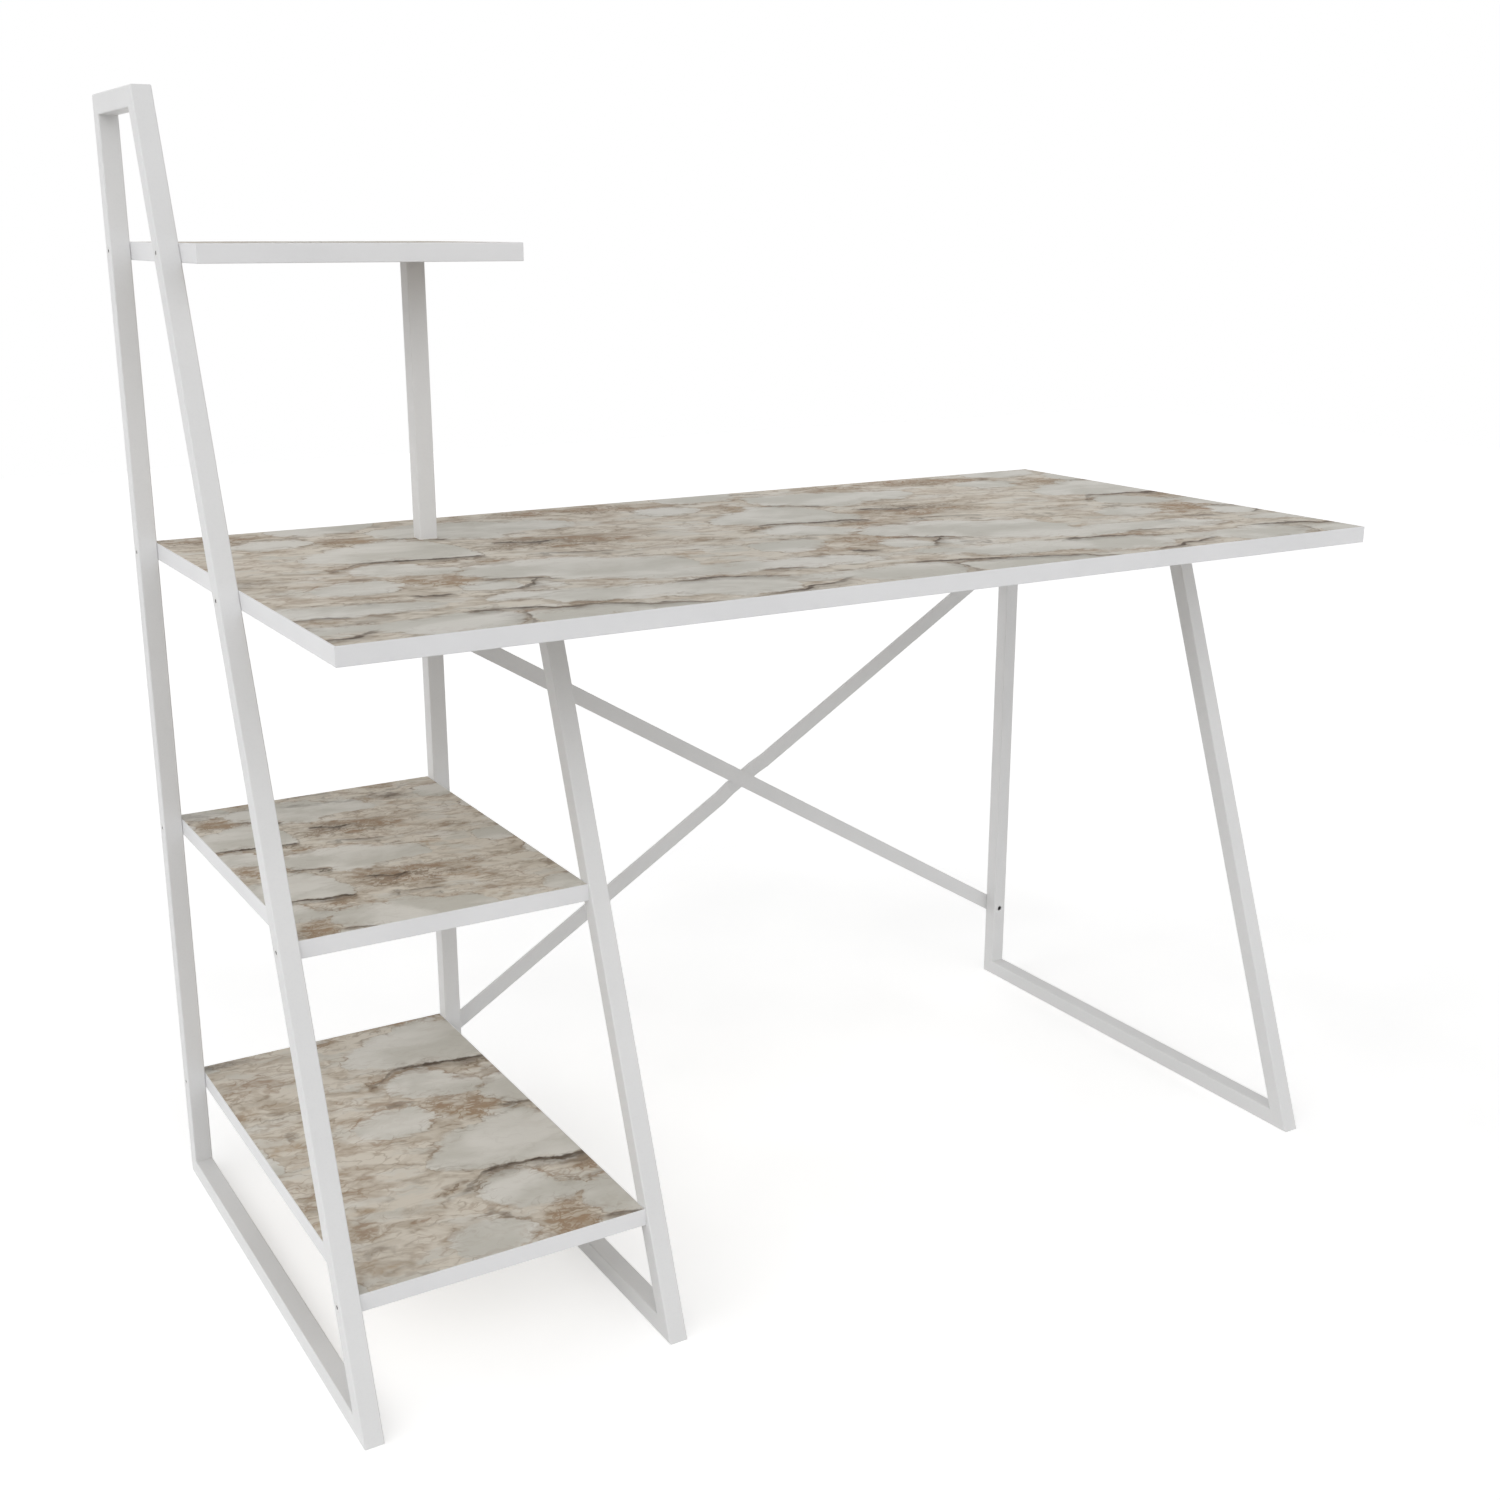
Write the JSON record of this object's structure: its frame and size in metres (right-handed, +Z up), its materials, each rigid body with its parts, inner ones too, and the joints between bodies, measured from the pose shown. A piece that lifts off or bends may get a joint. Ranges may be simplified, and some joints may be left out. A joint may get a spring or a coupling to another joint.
{
  "type": "study desk",
  "caption": "Study desk with marble-look boards on white square-tube frames, side shelves, a raised shelf on a tall side frame and a crossed rear brace.",
  "frame": {"origin": "middle of the desk's footprint, on the floor", "axes": "+Z up, +X towards the desk's right as its user sees it, -Y towards the user"},
  "size_m": [1.22, 0.6062, 1.2],
  "materials": {
    "marble_laminate_board": "satin melamine with a printed marble pattern",
    "white_edge_band": "satin",
    "white_powder_coat": "fine satin powder coat",
    "white_plastic_plug": "moulded",
    "white_screw": "painted head",
    "white_bolt": "painted head",
    "zinc_rivet_nut": "zinc plated"
  },
  "bodies": {
    "root": {"desktop_board": "marble_laminate_board", "desktop_front_edge_band": "white_edge_band", "desktop_rear_edge_band": "white_edge_band", "desktop_left_edge_band": "white_edge_band", "desktop_right_edge_band": "white_edge_band", "bottom_shelf_board": "marble_laminate_board", "bottom_shelf_front_edge_band": "white_edge_band", "bottom_shelf_rear_edge_band": "white_edge_band", "bottom_shelf_left_edge_band": "white_edge_band", "bottom_shelf_right_edge_band": "white_edge_band", "middle_shelf_board": "marble_laminate_board", "middle_shelf_front_edge_band": "white_edge_band", "middle_shelf_rear_edge_band": "white_edge_band", "middle_shelf_left_edge_band": "white_edge_band", "middle_shelf_right_edge_band": "white_edge_band", "upper_shelf_board": "marble_laminate_board", "upper_shelf_front_edge_band": "white_edge_band", "upper_shelf_rear_edge_band": "white_edge_band", "upper_shelf_left_edge_band": "white_edge_band", "upper_shelf_right_edge_band": "white_edge_band", "left_frame_front_leg": "white_powder_coat", "left_frame_top_bar": "white_powder_coat", "left_frame_rear_leg": "white_powder_coat", "left_frame_floor_bar": "white_powder_coat", "middle_frame_front_leg": "white_powder_coat", "middle_frame_top_bar": "white_powder_coat", "middle_frame_rear_leg": "white_powder_coat", "middle_frame_floor_bar": "white_powder_coat", "right_frame_front_leg": "white_powder_coat", "right_frame_top_bar": "white_powder_coat", "right_frame_rear_leg": "white_powder_coat", "right_frame_floor_bar": "white_powder_coat", "shelf_post_tube": "white_powder_coat", "shelf_post_lower_plug": "white_plastic_plug", "shelf_post_upper_plug": "white_plastic_plug", "brace_straight_bar": "white_powder_coat", "brace_cranked_bar": "white_powder_coat", "left_frame_screws": "white_screw", "middle_frame_screws": "white_screw", "desktop_screws": "white_screw", "post_screws": "white_screw", "brace_bolts": "white_bolt", "brace_rivet_nuts": "zinc_rivet_nut"}
  },
  "joints": []
}
